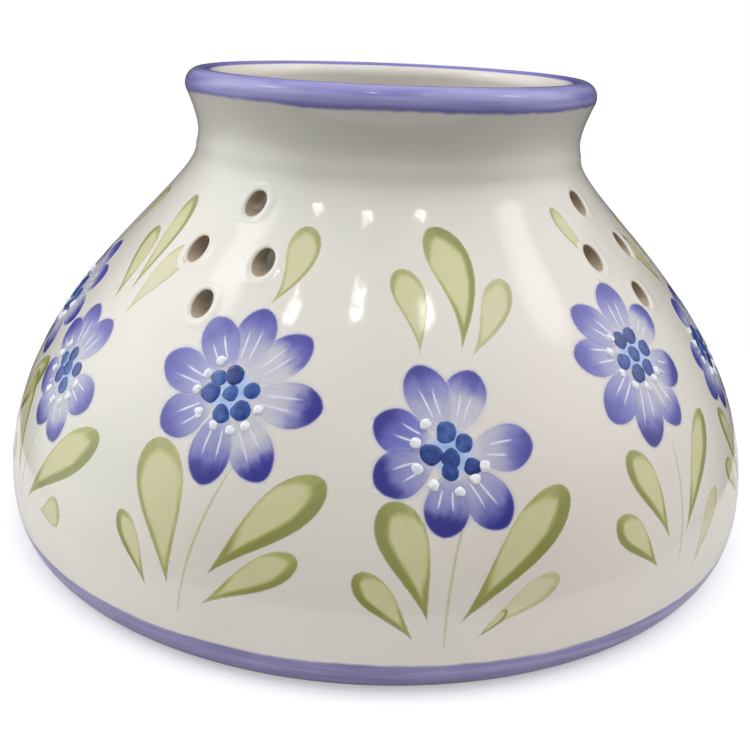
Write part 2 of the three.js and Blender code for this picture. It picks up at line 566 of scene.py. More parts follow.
# How finely the clear glaze ripples: the size of the pattern per metre, and its depth
RIPPLE = {"scale": 70.0, "depth": 0.00010}
ORANGE_PEEL = {"scale": 900.0, "depth": 0.0000022}
GLAZE_ROUGHNESS = 0.07
GLAZE_IOR = 1.52


def bumped(recipe, height, strength=1.0, distance=1.0):
    """The direction of a surface with this relief; at full strength and distance it is in metres."""
    inputs = {"Strength": strength, "Distance": distance, "Height": height}
    return recipe.node("Bump", None, inputs)


def glaze_ripple(recipe):
    """The direction of the clear glaze's surface, which runs on unbroken over paint and clay alike."""
    place = recipe.place()
    waves = recipe.noise(place, RIPPLE["scale"], detail=1.0)
    peel = recipe.noise(place, ORANGE_PEEL["scale"], detail=1.0)
    return bumped(recipe, waves * RIPPLE["depth"] + peel * ORANGE_PEEL["depth"])


def cream_clay(recipe, place):
    """Cream with soft clouds, a warmer tint in places, and small brown specks."""
    cloud = recipe.noise(place, 26.0, detail=3.0)
    cream = recipe.ramp(
        cloud, [(0.30, srgb(228, 222, 212)), (0.50, srgb(232, 228, 219)), (0.70, srgb(226, 226, 214))]
    )
    warm = recipe.noise(place, 9.0, detail=1.0).smooth(0.45, 0.75)
    cream = recipe.mix(cream, srgb(231, 219, 210), warm * 0.6)
    inputs = {"Vector": place, "Scale": 150.0, "Randomness": 1.0}
    cells = recipe.node("TexVoronoi", {"feature": "F1"}, inputs)
    chosen = recipe.part(cells.other(1), 0).smooth(0.955, 0.965)
    speck = cells.smooth(0.060, 0.030) * chosen
    return recipe.mix(cream, srgb(120, 105, 92), speck * 0.75)


def lip_paint(recipe, height, radius, hand, wobble, brushed):
    """Lavender on the lip, darker at the mouth and with painted shade low down: the colour, and how far it
    covers.
    """
    edge = HEIGHT / MM - 4.0
    mouth = MOUTH_RADIUS / MM
    colour = recipe.ramp(
        brushed + hand * 0.5,
        [(0.30, srgb(134, 128, 196)), (0.50, srgb(152, 148, 208)), (0.72, srgb(165, 162, 217))],
    )
    inner_edge = (radius + hand * 0.5).smooth(mouth + 2.6, mouth + 1.5)
    # painted shade along the band's lower edge, where the rolled lip turns under
    painted_shade_under_lip = (height + hand).smooth(edge + 1.3, edge + 0.2)
    colour = recipe.mix(colour, srgb(108, 99, 184), inner_edge * 0.8)
    colour = recipe.mix(colour, srgb(120, 112, 184), painted_shade_under_lip * 0.7)
    band = (height + wobble).smooth(edge - 0.35, edge + 0.35)
    outside_mouth = (radius + hand * 0.3).smooth(mouth + 1.0, mouth + 1.4)
    return colour, band * outside_mouth


def foot_paint(recipe, height, radius, hand, wobble, brushed):
    """Lavender round the outside of the foot, with painted shade low down: the colour, and how far it covers.
    """
    edge = FOOT_JOINT / MM + 0.35
    inner = FLOOR_RADIUS / MM
    colour = recipe.ramp(
        brushed + hand * 0.4,
        [(0.30, srgb(124, 118, 166)), (0.52, srgb(143, 137, 184)), (0.74, srgb(160, 154, 200))],
    )
    # painted shade: the lavender darkens towards the bottom, where the foot's edge curves under
    low = (height + wobble * 0.5).smooth(4.6, 1.4)
    colour = recipe.mix(colour, srgb(108, 102, 148), low * 0.6)
    band = (height + wobble * 0.55).smooth(edge + 0.35, edge - 0.3)
    return colour, band * radius.smooth(inner + 4.0, inner + 5.0)


def pot_glaze():
    """Cream clay under clear glaze, with the lavender bands brushed on by hand at lip and foot.

    Heights, radii and the wavering of the hand are in millimetres.
    """
    recipe = Recipe("cream and lavender glaze")
    place = recipe.place()
    height = recipe.part(place, 2) / MM
    radius = recipe.length(recipe.stretched(place, (1.0, 1.0, 0.0))) / MM
    hand = recipe.noise(place, 75.0) - 0.5
    wobble = hand * 1.5 + (recipe.noise(place, 420.0) - 0.5) * 0.5
    brushed = recipe.noise(recipe.stretched(place, (60.0, 60.0, 900.0)), 1.0)

    colour = cream_clay(recipe, place)
    colour = recipe.mix(colour, *lip_paint(recipe, height, radius, hand, wobble, brushed))
    colour = recipe.mix(colour, *foot_paint(recipe, height, radius, hand, wobble, brushed))
    # inside the stem holes the colour turns brownish and darker: partly bare clay where the glaze thins,
    # partly painted shade in the holes
    bore = recipe.attribute("bore").smooth(0.2, 1.0)
    colour = recipe.mix(colour, srgb(176, 158, 134), bore * 0.85)
    bare = height.smooth(0.35, 0.1) * radius.smooth(FLOOR_RADIUS / MM - 1.0, FLOOR_RADIUS / MM)
    grain = recipe.noise(place, 1600.0, detail=3.0)
    clay = recipe.ramp(grain, [(0.35, srgb(205, 196, 180)), (0.65, srgb(226, 218, 204))])
    return recipe.finish(
        Base_Color=recipe.mix(colour, clay, bare), Roughness=bare * 0.6 + GLAZE_ROUGHNESS,
        Normal=glaze_ripple(recipe), IOR=GLAZE_IOR,
    )


pot_material = pot_glaze()
pieces = [
    (make_wall(pot_material), "body_shell", "cream_glaze"),
    (make_lip(pot_material), "rim_roll", "lavender_glaze"),
    (make_foot(pot_material), "foot_band", "foot_glaze"),
    (make_floor(pot_material), "floor_disc", "cream_glaze"),
]
for piece, node, slot in pieces:
    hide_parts(node)
    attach(piece, "root")

# ---- Brush strokes -------------------------------------------------------------------------

UNDER_GLAZE = 0.05 * MM  # how far the hidden underside of a stroke lies below the wall's surface


def on_wall(azimuth, along, lift):
    """Points at a height above the wall's outside, and the wall's outward directions there."""
    radius, height, out_r, out_z = outside.at(along)
    return around(radius + lift * out_r, azimuth, height + lift * out_z), around(out_r, azimuth, out_z)


def local_to_wall(origin, spots, lift):
    """Places flat (right, up) spots, measured from an origin on the wall, onto the wall."""
    azimuth, along = origin
    up = along + spots[..., 1]
    radius = outside.at(up)[0]
    return on_wall(azimuth + spots[..., 0] / radius, up, lift)


def from_origin(origin, azimuth_degrees, along_mm):
    """The flat (right, up) spot of a place on the wall, seen from an origin."""
    along = along_mm * MM
    radius = outside.at(along)[0]
    return np.array([(math.radians(azimuth_degrees) - origin[0]) * radius, along - origin[1]])


def distance_to_line(spots, line):
    """Each flat spot's distance to the nearest stretch of a line of flat points."""
    start, step = line[:-1], np.diff(line, axis=0)
    offset = spots[:, None] - start
    share = (offset * step).sum(-1) / np.maximum((step * step).sum(-1), 1e-18)
    nearest = offset - np.clip(share, 0, 1)[..., None] * step
    return np.sqrt((nearest * nearest).sum(-1).min(-1))


# A brush gives where a stroke is fullest, how round its ends are, how finely its start is drawn out, how
# far its film reaches past the paint, and the film's cells along and across.
Brush = namedtuple("Brush", "fullest roundness taper margin cells")
LEAF_BRUSH = Brush(0.66, 0.5, 0.45, 0.35 * MM, (34, 18))
PLUMP_LEAF_BRUSH = Brush(0.55, 0.5, 0.0, 0.35 * MM, (34, 18))
STEM_BRUSH = Brush(0.5, 0.25, 0.0, 0.25 * MM, (36, 4))
PETAL_BRUSH = Brush(0.60, 0.52, 0.0, 0.8 * MM, (24, 14))
HAZE_BRUSH = Brush(0.6, 0.6, 0.0, 0.8 * MM, (16, 12))
LINE_BRUSH = Brush(0.45, 0.4, 0.0, 0.18 * MM, (12, 4))
CENTRE_BRUSH = Brush(0.5, 0.5, 0.0, 0.8 * MM, (20, 16))


def brush_shape(t, brush):
    """A stroke's width along itself, from 0 at the ends to 1 near the fullest place."""

    def width(u):
        wave = np.sin(math.pi * u ** (math.log(0.5) / math.log(brush.fullest)))
        return np.maximum(wave, 0) ** brush.roundness * u**brush.taper

    return width(np.clip(t, 0, 1)) / width(np.linspace(0, 1, 101)).max()


def eased(shares):
    """Shares from 0 to 1, crowded at both ends."""
    return (1 - np.cos(math.pi * shares)) / 2


def left_of(line):
    """The direction to the left of a line of flat points, at each of them."""
    step = np.gradient(line, axis=0)
    step /= np.linalg.norm(step, axis=1, keepdims=True)
    return np.stack([-step[:, 1], step[:, 0]], axis=1)


HOLE_CLEARANCE = BORE_RADIUS + 0.75 * MM  # no paint bridges a stem hole or its bead
hole_middles = np.array(
    [around(outside.radius_at_height(hole.height), hole.azimuth, hole.height) for hole in stem_holes()]
)
EDGE_POINTS = 50  # along each side of a stroke, for the distance to its edge


class Strokes:
    """Brush strokes that lie on the wall as thin closed films, gathered into one piece.

    Every point carries "stroke": how far along it is from 0 to 1, how far across in millimetres, and
    how far inside the stroke's edge in millimetres; and "tint": three values chosen per stroke.
    """

    def __init__(self):
        self.skin = Skin()
        self.normals = []
        self.stroke = []
        self.tint = []

    def add(self, brush, origin, base, tip, half_width, lift, tint, bend=0.0, shade=None):
        """One stroke from base to tip, two flat spots; shade, if given, works out its first tint."""
        base, tip = np.array(base, float), np.array(tip, float)
        length = np.linalg.norm(tip - base)
        ahead = (tip - base) / length
        aside = np.array([-ahead[1], ahead[0]])

        def spine(t):
            inner = np.clip(t, 0, 1)
            return base + np.outer(t * length, ahead) + np.outer(bend * 4 * inner * (1 - inner), aside)

        rows, columns = brush.cells
        share = eased(np.linspace(0, 1, rows + 1))
        t = (share * (length + 2 * brush.margin) - brush.margin) / length
        middle = spine(t)
        wide = half_width * brush_shape(t, brush)
        half = wide + brush.margin * np.sin(math.pi * share) ** 0.35
        across = np.linspace(-1, 1, columns + 1)
        spots = middle[:, None] + left_of(middle)[:, None] * (across[:, None] * half[:, None, None])

        fine = eased(np.linspace(0, 1, EDGE_POINTS))
        line = spine(fine)
        reach = left_of(line) * (half_width * brush_shape(fine, brush))[:, None]
        rim = np.vstack([line + reach, (line - reach)[::-1]])
        edge = distance_to_line(spots.reshape(-1, 2), rim).reshape(spots.shape[:2])
        inside = (np.abs(across) * half[:, None] < wide[:, None]) & ((t > 0) & (t < 1))[:, None]
        edge = np.where(inside, edge, -edge) / MM

        along_values = np.broadcast_to(t[:, None], edge.shape)
        across_values = across * half[:, None] / MM
        tints = np.broadcast_to(np.array(tint, float), edge.shape + (3,)).copy()
        if shade is not None:
            tints[..., 0] = shade(along_values, across_values, edge)
        top, facing = local_to_wall(origin, spots, lift)
        under, _ = local_to_wall(origin, spots, -UNDER_GLAZE)
        from_hole = np.linalg.norm(top[:, :, None] - hole_middles, axis=-1).min(axis=-1) - HOLE_CLEARANCE
        places = np.stack([along_values, across_values, np.minimum(edge, from_hole / MM)], axis=-1)
        self.close(top, under, facing, places, tints)

    def close(self, top, under, facing, places, tints):
        """Joins a film's upper and lower skins along its sides and at both ends."""

        def joined(upper, lower):
            return np.concatenate([upper[1:-1], lower[1:-1, ::-1]], axis=1)

        numbers = self.skin.add(joined(top, under))
        stores = ((facing, -facing, self.normals), (places, places, self.stroke), (tints, tints, self.tint))
        for upper, lower, store in stores:
            store.append(joined(upper, lower).reshape(-1, 3))
        rows = [numbers]
        for end in (0, -1):
            number = self.skin.add(top[end, :1])
            rows.append(np.full((1, numbers.shape[1]), number[0]))
            for upper, _, store in stores:
                store.append(upper[end, :1])
        self.skin.quads(closed_ring(np.vstack([rows[1], rows[0], rows[2]])))

    def make(self, name, material):
        """The piece, with its faces turned outwards."""
        points = self.skin.all_points()
        faces = np.vstack(self.skin.faces)
        a, b, c, d = (points[faces[:, k]] for k in range(4))
        volume = np.einsum("ij,ij->", a, np.cross(b, c)) + np.einsum("ij,ij->", a, np.cross(c, d))
        if volume < 0:
            self.skin.faces = [f[:, ::-1] for f in self.skin.faces]
        attributes = {"stroke": np.vstack(self.stroke), "tint": np.vstack(self.tint)}
        piece = make_piece(name.replace(" ", "_"), self.skin, np.vstack(self.normals), material, attributes)
        piece.visible_shadow = False  # paint sunk in the glaze throws no shadow on the clay under it
        piece.visible_diffuse = False
        return piece


# ---- The painted plants --------------------------------------------------------------------

# A petal points in a direction from its flower's centre, in degrees, 0 to the right and 90 upwards, and
# reaches a number of millimetres out; deep says how dark its tip is and pale how white its inner half.
Petal = namedtuple("Petal", "direction reach deep pale")
# A leaf's tip and base are places on the wall: degrees round the pot and millimetres along the outline.
Leaf = namedtuple("Leaf", "tip base half_width dark_side strength bend")
# A plant's dabs are (direction, distance) from its flower's centre, its dots are directions, and each of
# its stems is (top, foot, bend).
Plant = namedtuple("Plant", "name azimuth along petals dabs dots leaves stems")

RING_OF_DABS = ((145, 3.5), (95, 3.0), (-170, 3.5), (15, 3.5), (-100, 3.5), (-45, 3.5), (0, 0.0))

plants = [
    Plant(
        "front left plant", -21, 40.5,
        [
            Petal(122, 14.0, 0.2, 0.2), Petal(85, 15.0, 0.3, 0.5), Petal(46, 15.0, 0.4, 1.0),
            Petal(-3, 15.5, 0.9, 0.7), Petal(-54, 15.5, 0.8, 0.9), Petal(-94, 15.0, 0.9, 0.2),
            Petal(-145, 13.5, 0.5, 0.2), Petal(168, 14.5, 0.3, 0.2),
        ],
        RING_OF_DABS, (125, 155, -175, -140, -105, -75, -50, -20),
        [
            Leaf((-30, 31.0), (-24.5, 8.5), 4.6, 0.3, 0.75, -0.6),
            Leaf((-33, 18.0), (-27.5, 7.0), 2.0, 0.9, 0.95, -0.4),
            Leaf((-6, 29.0), (-19.5, 12.0), 3.9, -1.0, 1.0, 0.6),
            Leaf((-8.5, 17.0), (-20, 7.0), 2.7, -0.8, 0.85, 0.5),
            Leaf((-17.5, 71.5), (-19.5, 56.0), 2.9, -0.4, 0.7, -1.8),
        ],
        [((-18, 29.5), (-23, 4.5), 1.0)],
    ),
    Plant(
        "front plant", 9.5, 34,
        [
            Petal(108, 14.5, 0.6, 0.4), Petal(70, 13.5, 0.5, 0.7), Petal(0, 13.5, 0.5, 0.5),
            Petal(-55, 14.5, 0.9, 0.3), Petal(-98, 13.0, 1.2, 0.2), Petal(-157, 13.0, 1.1, 0.2),
            Petal(156, 12.5, 0.9, 0.0),
        ],
        ((100, 3.0), (30, 2.5), (-175, 3.0), (-95, 1.0), (-95, 3.0), (-35, 4.0)),
        (130, 165, -155, -120, -80, -50, -25),
        [
            Leaf((1.5, 26.5), (6.5, 8.0), 3.9, 0.9, 1.0, -0.5),
            Leaf((-2, 15.5), (5, 5.0), 2.5, 0.9, 1.0, -0.4),
            Leaf((24.5, 27.0), (10, 7.5), 3.9, -1.0, 1.0, 0.2),
            Leaf((22.5, 13.5), (12.5, 5.5), 2.1, -0.6, 0.5, 0.6),
            Leaf((15.8, 9.3), (12.3, 5.0), 0.8, -1.0, 1.4, 0.0),
            Leaf((9.5, 72.5), (12.5, 50.0), 3.7, -0.6, 1.0, -2.4),
            Leaf((2.5, 64.5), (6.0, 49.5), 2.7, 0.2, 0.7, -1.0),
            Leaf((22.5, 62.5), (14, 49.0), 2.7, -0.5, 0.6, -0.9),
        ],
        [((11.5, 26.5), (8.5, 3.5), 1.0)],
    ),
    Plant(
        "front right plant", 44.5, 45,
        [
            Petal(84, 14.0, 0.4, 0.3), Petal(131, 14.0, 0.3, 0.3), Petal(171, 14.0, 0.2, 0.3),
            Petal(-142, 15.5, 0.4, 0.2), Petal(-107, 16.5, 0.9, 0.5), Petal(-71, 15.0, 0.5, 0.8),
            Petal(-31, 12.5, 0.9, 0.4), Petal(34, 12.5, 0.4, 0.8),
        ],
        ((70, 3.5), (120, 3.5), (-170, 3.5), (5, 3.5), (-55, 3.5), (-110, 3.5), (0, 0.0)),
        (135, 165, -155, -125, -95, -65, -45),
        [
            Leaf((35.5, 30.0), (40.5, 13.5), 3.0, 0.8, 1.0, -0.4),
            Leaf((31.5, 20.0), (38, 9.5), 2.8, 0.9, 1.0, -0.3),
            Leaf((56, 31.0), (44, 13.0), 2.9, -1.0, 1.0, 0.6),
            Leaf((54, 17.0), (45.5, 5.5), 2.0, -0.5, 0.5, 0.6),
            Leaf((44, 75.0), (48, 61.5), 1.7, 0.5, 0.7, 0.3),
        ],
        [((45, 29.0), (42, 8.0), -0.8), ((47, 63.0), (46, 57.0), 0.2)],
    ),
    Plant(
        "left plant", -55, 34,
        [
            Petal(104, 13.5, 0.4, 0.4), Petal(67, 13.0, 0.4, 0.4), Petal(-14, 13.0, 0.4, 0.4),
            Petal(-61, 13.5, 0.6, 0.8), Petal(-102, 12.0, 0.9, 0.4), Petal(-153, 10.5, 0.5, 0.3),
            Petal(143, 12.0, 0.3, 0.3),
        ],
        ((160, 3.5), (100, 3.0), (-145, 2.5), (95, 0.5), (20, 3.5), (-60, 3.0)),
        (140, 165, -165, -125, -90, -60, -35, -10),
        [
            Leaf((-40, 27.5), (-55, 9.0), 3.9, -0.9, 0.95, 0.5),
            Leaf((-44.5, 12.0), (-50, 9.5), 2.7, 0.2, 0.65, 0.0),
            Leaf((-67, 29.0), (-59.5, 10.0), 2.6, -0.8, 0.95, 0.0),
            Leaf((-54, 73.5), (-51.5, 51.5), 2.5, -0.7, 0.95, -0.6),
            Leaf((-60, 65.0), (-54.5, 49.0), 2.6, 0.6, 0.85, -0.5),
            Leaf((-43, 64.0), (-48.5, 47.5), 2.9, -0.3, 0.5, 0.4),
        ],
        [((-56, 22.0), (-58.5, 5.0), 0.5)],
    ),
    Plant(
        "right plant", 72.5, 38,
        [
            Petal(105, 11.5, 0.4, 0.3), Petal(-175, 11.0, 0.4, 0.3), Petal(-145, 14.0, 0.5, 0.5),
            Petal(-112, 13.5, 0.8, 0.5), Petal(-65, 14.0, 0.6, 0.7), Petal(-20, 13.5, 0.7, 0.4),
            Petal(25, 14.0, 0.4, 0.7), Petal(65, 14.0, 0.3, 0.5),
        ],
        RING_OF_DABS, (130, 160, -165, -130, -95, -65, -35),
        [
            Leaf((63, 28.0), (68, 9.5), 2.8, 0.7, 1.0, -0.3),
            Leaf((59.5, 19.0), (64.5, 10.0), 2.2, 0.7, 0.9, -0.3),
            Leaf((86, 27.5), (75, 9.0), 3.6, -1.0, 1.0, 0.6),
            Leaf((83, 15.0), (76, 6.0), 2.3, -0.7, 0.8, 0.5),
            Leaf((80, 69.5), (78, 54.5), 2.7, -0.5, 0.9, -0.6),
            Leaf((69, 65.0), (73, 51.0), 2.6, 0.6, 0.9, -0.5),
            Leaf((88, 61.5), (80, 50.0), 2.6, -0.5, 0.7, -0.5),
        ],
        [((73.5, 26.0), (72, 5.0), 0.8)],
    ),
]


def between(low, high):
    return float(rng.uniform(low, high))


def grown_plant(name, azimuth, high):
    """A plant of the same pattern as the others, with small changes of its own."""

    def near(value, spread):
        return value + between(-spread, spread)

    along = near(43 if high else 35, 2)
    count = 8 if high else 7
    turn = near(20, 20)
    petals = []
    for number in range(count):
        direction = turn + number * 360 / count
        low = (1 - math.sin(math.radians(direction))) / 2
        pale_side = (1 + math.cos(math.radians(direction - 20))) / 2
        deep, pale = 0.25 + 0.6 * low, 0.2 + 0.6 * pale_side
        petals.append(Petal(near(direction, 5), near(14, 1), near(deep, 0.15), near(pale, 0.1)))
    dabs = [(near(d, 12), near(r, 0.3)) for d, r in RING_OF_DABS]
    dots = [near(130 + 31 * number, 4) for number in range(8)]
    tall = along - 11
    leaves = [
        Leaf((near(azimuth - 9, 1), tall), (azimuth - 3, near(9, 2)), near(4.1, 0.4), 0.8, 1.0, near(0, 0.6)),
        Leaf((near(azimuth - 11, 1), near(17, 2)), (azimuth - 5, 6.5), near(2.4, 0.3), 0.8, 1.0, -0.4),
        Leaf((near(azimuth + 13, 1), tall), (azimuth + 1.5, near(10, 2)), near(3.8, 0.3), -1.0, 1.0, 0.4),
        Leaf((near(azimuth + 11, 1), near(15, 1.5)), (azimuth + 2, 6.0), near(2.5, 0.3), -0.7, 0.8, 0.5),
    ]
    if high:
        leaves.append(Leaf((near(azimuth + 2, 2), 72.0), (azimuth, near(60, 2)), 2.4, 0.5, 0.8, -1.0))
    else:
        leaves += [
            Leaf((near(azimuth + 2, 2), 72.0), (azimuth + 2.5, 52.0), near(3.4, 0.3), 0.7, 0.9, near(-1, 1)),
            Leaf((near(azimuth - 6, 1), 63.0), (azimuth - 3, 50.0), near(2.7, 0.2), 0.5, 0.9, -0.8),
            Leaf((near(azimuth + 13, 2), 61.5), (azimuth + 5, 50.0), near(2.7, 0.2), -0.6, 0.7, -0.8),
        ]
    stems = [((azimuth + 1.5, along - 9), (azimuth - 1.5, 4.5), near(0.6, 0.4))]
    return Plant(name, azimuth, along, petals, dabs, dots, leaves, stems)


plants += [
    grown_plant("far left plant", -76, high=True), grown_plant("far right plant", 104, high=True),
    grown_plant("back right plant", 134, high=False), grown_plant("back plant", 163, high=True),
    grown_plant("back middle plant", -166, high=False), grown_plant("back left plant", -137, high=True),
    grown_plant("rear left plant", -106, high=False),
]


def compass(direction, distance):
    """A flat spot at a direction in degrees and a distance in millimetres."""
    a = math.radians(direction)
    return distance * MM * np.array([math.cos(a), math.sin(a)])


def leaf_shade(dark_side, strength, half_width):
    """How dark a leaf is painted: along its edges, most on one side, at its tip and at its base."""
    size = half_width / 3

    def shade(along, across, edge):
        leaning = 0.5 + 0.5 * np.clip(1.8 * dark_side * across / half_width, -1, 1)
        band = size * (0.35 + 1.6 * leaning * abs(dark_side) + 1.1 * np.clip((along - 0.72) / 0.2, 0, 1))
        rim = np.clip(1.8 * (1.15 - edge / band), 0, 1) * (0.5 + 0.5 * leaning)
        base = np.clip(1.2 - along / 0.20, 0, 1)
        return np.clip(np.maximum(rim, base) * strength, 0, 1)

    return shade


LEAF_LIFT = 0.04 * MM
STEM_LIFT = 0.03 * MM
PETAL_LIFT = 0.06 * MM
HAZE_LIFT = 0.095 * MM
CENTRE_LIFT = 0.105 * MM
LINE_LIFT = 0.115 * MM
STEM_HALF_WIDTH = 0.27 * MM
LINE_HALF_WIDTH = 0.19 * MM
PLUMP = 0.35  # a leaf whose half width is over this share of its length is round at both ends


def middle_of(plant):
    """The origin of a plant's flower."""
    return math.radians(plant.azimuth), plant.along * MM


def paint_leaves(plant, material):
    work = Strokes()
    for number, leaf in enumerate(plant.leaves):
        origin = (math.radians(leaf.base[0]), leaf.base[1] * MM)
        tip = from_origin(origin, *leaf.tip)
        plump = leaf.half_width * MM > PLUMP * np.linalg.norm(tip)
        work.add(
            PLUMP_LEAF_BRUSH if plump else LEAF_BRUSH, origin, (0, 0), tip, leaf.half_width * MM,
            LEAF_LIFT + number * 0.002 * MM, (0, leaf.strength, between(0, 1)), leaf.bend * MM,
            leaf_shade(leaf.dark_side, leaf.strength, leaf.half_width),
        )
    for top, foot, bend in plant.stems:
        origin = (math.radians(foot[0]), foot[1] * MM)
        tip = from_origin(origin, *top)
        tint = (0.35, 0.45, between(0, 1))
        work.add(STEM_BRUSH, origin, (0, 0), tip, STEM_HALF_WIDTH, STEM_LIFT, tint, bend * MM)
    return work.make(plant.name + " leaves", material)


def petal_width(petal, plant):
    """A petal's half width in millimetres; petals that stand far apart are a little broader."""
    gaps = [abs((petal.direction - other.direction + 180) % 360 - 180) for other in plant.petals]
    nearest = min(gap for gap in gaps if gap > 0)
    return (3.55 + 0.25 * min(nearest - 36, 16) / 16) * (0.9 + 0.1 * petal.reach / 14)


def paint_petals(plant, material):
    work = Strokes()
    order = rng.permutation(len(plant.petals))
    for petal, place in zip(plant.petals, order):
        work.add(
            PETAL_BRUSH, middle_of(plant), compass(petal.direction, 2.6),
            compass(petal.direction, petal.reach), petal_width(petal, plant) * MM,
            PETAL_LIFT + 0.004 * MM * int(place), (petal.deep, petal.pale, between(0, 1)),
            between(-0.35, 0.35) * MM,
        )
    return work.make(plant.name + " petals", material)


def paint_white(plant, material):
    """The white haze over the pale inner halves of petals, and two fine white lines on each petal."""
    work = Strokes()
    origin = middle_of(plant)
    for petal in plant.petals:
        if petal.pale > 0.65:
            base, tip = compass(petal.direction, 1.5), compass(petal.direction, 11.0)
            work.add(HAZE_BRUSH, origin, base, tip, 4.0 * MM, HAZE_LIFT, (0, petal.pale, between(0, 1)))
        start = between(4.6, 5.6)
        aside = compass(petal.direction + 90, 1.0)
        for side in (-1, 1):
            spread = side * between(0.7, 1.0)
            end = petal.reach - between(3.0, 4.4)
            work.add(
                LINE_BRUSH, origin,
                compass(petal.direction, start + between(-0.4, 0.6)) + 0.8 * spread * aside,
                compass(petal.direction, end) + 1.35 * spread * aside, LINE_HALF_WIDTH, LINE_LIFT,
                (1, 1, between(0, 1)), between(-0.15, 0.15) * MM,
            )
    return work.make(plant.name + " white lines", material)


def paint_centres(material):
    """The pale blue wash that the dabs of every flower stand in."""
    work = Strokes()
    for plant in plants:
        base, tip = (0, -4.3 * MM), (0, 4.3 * MM)
        tint = (0, 1, between(0, 1))
        work.add(CENTRE_BRUSH, middle_of(plant), base, tip, 4.2 * MM, CENTRE_LIFT, tint)
    return work.make("flower centre washes", material)


# ---- Dabs and enamel drops -----------------------------------------------------------------


class Tree:
    """A Geometry Nodes tree under construction; its inputs are (name, kind of socket) pairs."""

    def __init__(self, name, inputs):
        self.group = bpy.data.node_groups.new(name, "GeometryNodeTree")
        self.names = {}
        for key, kind in inputs:
            item = self.group.interface.new_socket(key, in_out="INPUT", socket_type="NodeSocket" + kind)
            self.names[key] = item.identifier
        self.group.interface.new_socket("Geometry", in_out="OUTPUT", socket_type="NodeSocketGeometry")
        self.entry = self.group.nodes.new("NodeGroupInput")

    def given(self, name):
        return self.entry.outputs[name]

    def node(self, kind, settings=None, inputs=None, output=0):
        made = self.group.nodes.new(kind)
        for key, value in (settings or {}).items():
            setattr(made, key, value)
        for key, value in (inputs or {}).items():
            if isinstance(value, bpy.types.NodeSocket):
                self.group.links.new(value, made.inputs[key])
            else:
                made.inputs[key].default_value = value
        return made.outputs[output]

    def named(self, name, kind):
        return self.node("GeometryNodeInputNamedAttribute", {"data_type": kind}, {"Name": name})

    def times(self, first, second):
        return self.node("ShaderNodeMath", {"operation": "MULTIPLY"}, {0: first, 1: second})

    def vectors(self, operation, inputs, output=0):
        return self.node("ShaderNodeVectorMath", {"operation": operation}, inputs, output)

    def finish(self, geometry):
        end = self.group.nodes.new("NodeGroupOutput")
        self.group.links.new(geometry, end.inputs["Geometry"])


DROP_INPUTS = (
    ("Geometry", "Geometry"), ("Flatness", "Float"), ("Lump Size", "Float"), ("Lump Depth", "Float"),
    ("Level", "Float"), ("Seed", "Float"), ("Material", "Material"),
)


def drop_tree():
    """Sets a flattened, slightly lumpy drop on every point, square to the wall.

    Level is 1 where the drops keep an even thickness, and 0 where their tops are lumpy too.
    """
    tree = Tree("drops on the wall", DROP_INPUTS)
    size, facing = tree.named("size", "FLOAT"), tree.named("facing", "FLOAT_VECTOR")
    thin = tree.times(size, tree.given("Flatness"))
    instances = {
        "Points": tree.given("Geometry"),
        "Instance": tree.node("GeometryNodeMeshUVSphere", None, {"Segments": 28, "Rings": 16, "Radius": 1.0}),
        "Rotation": tree.node("FunctionNodeAlignRotationToVector", {"axis": "Z"}, {"Vector": facing}),
        "Scale": tree.node("ShaderNodeCombineXYZ", None, {"X": size, "Y": size, "Z": thin}),
    }
    placed = tree.node("GeometryNodeInstanceOnPoints", None, instances)
    real = tree.node("GeometryNodeRealizeInstances", None, {"Geometry": placed})

    pattern = {
        "Vector": tree.node("GeometryNodeInputPosition"), "Scale": tree.given("Lump Size"), "Detail": 1.0,
        "W": tree.given("Seed"),
    }
    settings = {"noise_dimensions": "4D", "normalize": True}
    lumps = tree.node("ShaderNodeTexNoise", settings, pattern, output=1)
    centred = tree.vectors("SUBTRACT", {0: lumps, 1: (0.5, 0.5, 0.5)})
    outward = tree.vectors("DOT_PRODUCT", {0: centred, 1: facing}, output=1)
    lift = tree.vectors("SCALE", {0: facing, "Scale": tree.times(outward, tree.given("Level"))})
    sideways = tree.vectors("SUBTRACT", {0: centred, 1: lift})
    offset = tree.vectors("SCALE", {0: sideways, "Scale": tree.times(size, tree.given("Lump Depth"))})
    moved = tree.node("GeometryNodeSetPosition", None, {"Geometry": real, "Offset": offset})
    smooth = tree.node("GeometryNodeSetShadeSmooth", None, {"Geometry": moved})
    painted = {"Geometry": smooth, "Material": tree.given("Material")}
    tree.finish(tree.node("GeometryNodeSetMaterial", None, painted))
    return tree


def lay_drops(tree, name, spots, inputs):
    """One piece with a drop at every (origin, flat spot, radius)."""
    places, facings, sizes, tones = [], [], [], []
    for origin, spot, radius in spots:
        place, facing = local_to_wall(origin, np.array(spot), 0.05 * MM)
        places.append(tuple(place))
        facings.append(facing)
        sizes.append(radius * MM)
        tones.append(between(0, 1))
    mesh = bpy.data.meshes.new(name + " places")
    mesh.from_pydata(places, [], [])
    for key, kind, field, values in (
        ("facing", "FLOAT_VECTOR", "vector", facings), ("size", "FLOAT", "value", sizes),
        ("tone", "FLOAT", "value", tones),
    ):
        layer = mesh.attributes.new(key, kind, "POINT")
        layer.data.foreach_set(field, np.array(values, np.float32).ravel())
    host = new_object(name + " places", mesh)
    modifier = host.modifiers.new("drops", "NODES")
    modifier.node_group = tree.group
    for key, value in inputs.items():
        modifier[tree.names[key]] = value
    shown = host.evaluated_get(bpy.context.evaluated_depsgraph_get())
    finished = bpy.data.meshes.new_from_object(shown)
    finished.name = name
    host.modifiers.remove(modifier)
    bpy.data.objects.remove(host)
    return new_object(name, finished)


def dab_spots():
    for plant in plants:
        for direction, distance in plant.dabs:
            yield middle_of(plant), compass(direction, distance), between(1.4, 1.75)


